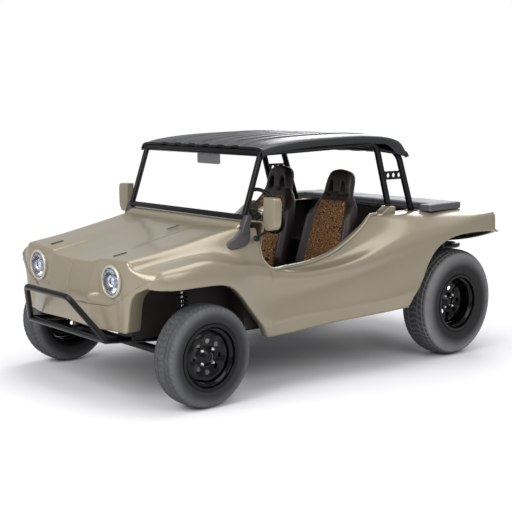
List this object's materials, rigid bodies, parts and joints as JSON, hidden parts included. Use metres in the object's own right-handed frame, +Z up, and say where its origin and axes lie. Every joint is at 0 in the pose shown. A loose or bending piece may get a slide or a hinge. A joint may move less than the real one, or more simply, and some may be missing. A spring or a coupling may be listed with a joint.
{
  "type": "dune buggy",
  "caption": "Open two-seat fibreglass dune buggy with a black ribbed roof on a roll cage, nudge bar, rear engine and steerable free-rolling wheels.",
  "frame": {"origin": "on the ground under the middle of the overall length and width", "axes": "+X forward, +Y to the driver's left, +Z up"},
  "size_m": [3.3799, 1.96, 1.59],
  "materials": {
    "sand_paint": "satin sand-beige metallic gel coat",
    "black_tube": "gloss black powder coat on steel tube",
    "black_roof": "semi-gloss black moulded roof panel",
    "black_panel": "matt black inner panels",
    "floor_steel": "black painted floor pan with chequer plate",
    "clear_glass": "clear laminated windscreen",
    "lamp_glass": "faceted clear lamp lens over a bright bowl",
    "red_lens": "red and amber moulded lens",
    "seat_vinyl": "dark brown vinyl with patterned cloth facing",
    "deck_pad": "grey vinyl padded deck cushion",
    "tyre_rubber": "dusty dark grey rubber",
    "black_rim": "gloss black steel wheel",
    "axle_steel": "black painted axle parts",
    "cast_grey": "grey cast alloy",
    "pipe_steel": "copper-brown heat-tinted steel pipe and black mufflers",
    "spoke_metal": "satin grey spokes and levers"
  },
  "bodies": {
    "chassis": {"front_wing_left": "sand_paint", "front_wing_right": "sand_paint", "body_side_left": "sand_paint", "body_side_right": "sand_paint", "hood": "sand_paint", "nose_panel": "sand_paint", "headlights": "lamp_glass", "tail_panel": "sand_paint", "tail_lights": "red_lens", "rear_deck": "sand_paint", "rear_cushion": "deck_pad", "floor_pan": "floor_steel", "inner_sides": "black_panel", "rear_bulkhead": "black_panel", "dashboard": "sand_paint", "windscreen_frame": "black_tube", "windscreen_glass": "clear_glass", "roof": "black_roof", "roll_cage": "black_tube", "front_bumper": "black_tube", "rear_bumper": "black_tube", "side_mirrors": "sand_paint", "cabin_mirror": "black_panel", "seat_left": "seat_vinyl", "seat_right": "seat_vinyl", "front_axle_beam": "axle_steel", "shock_absorbers": "axle_steel", "transaxle": "cast_grey", "engine": "cast_grey", "exhaust": "pipe_steel", "steering_column": "axle_steel", "pedals": "spoke_metal", "hand_levers": "spoke_metal"},
    "knuckle_left": {"knuckle_left": "axle_steel"},
    "knuckle_right": {"knuckle_right": "axle_steel"},
    "steering_wheel": {"steering_wheel": "spoke_metal"},
    "wheel_front_left": {"tyre_front_left": "tyre_rubber", "rim_front_left": "black_rim"},
    "wheel_front_right": {"tyre_front_right": "tyre_rubber", "rim_front_right": "black_rim"},
    "wheel_rear_left": {"tyre_rear_left": "tyre_rubber", "rim_rear_left": "black_rim"},
    "wheel_rear_right": {"tyre_rear_right": "tyre_rubber", "rim_rear_right": "black_rim"}
  },
  "joints": [
    {"name": "steer_left", "type": "hinge", "parent": "chassis", "child": "knuckle_left", "pos_m": [1.08, 0.672, 0.31], "axis": [0, 0, 1], "range_deg": [-30, 30]},
    {"name": "steer_right", "type": "hinge", "parent": "chassis", "child": "knuckle_right", "pos_m": [1.08, -0.672, 0.31], "axis": [0, 0, 1], "range_deg": [-30, 30]},
    {"name": "steering_wheel_turn", "type": "hinge", "parent": "chassis", "child": "steering_wheel", "pos_m": [0.187, 0.32, 1.078], "axis": [-0.9063, 0, 0.4226], "range_deg": [-420, 420]},
    {"name": "front_left_roll", "type": "hinge", "parent": "knuckle_left", "child": "wheel_front_left", "pos_m": [1.08, 0.79, 0.31], "axis": [0, 1, 0], "continuous": true},
    {"name": "front_right_roll", "type": "hinge", "parent": "knuckle_right", "child": "wheel_front_right", "pos_m": [1.08, -0.79, 0.31], "axis": [0, 1, 0], "continuous": true},
    {"name": "rear_left_roll", "type": "hinge", "parent": "chassis", "child": "wheel_rear_left", "pos_m": [-1.12, 0.805, 0.38], "axis": [0, 1, 0], "continuous": true},
    {"name": "rear_right_roll", "type": "hinge", "parent": "chassis", "child": "wheel_rear_right", "pos_m": [-1.12, -0.805, 0.38], "axis": [0, 1, 0], "continuous": true}
  ],
  "couplings": [
    {"joint": "steer_right", "follows": "steer_left", "ratio": 1},
    {"joint": "steering_wheel_turn", "follows": "steer_left", "ratio": 14}
  ]
}
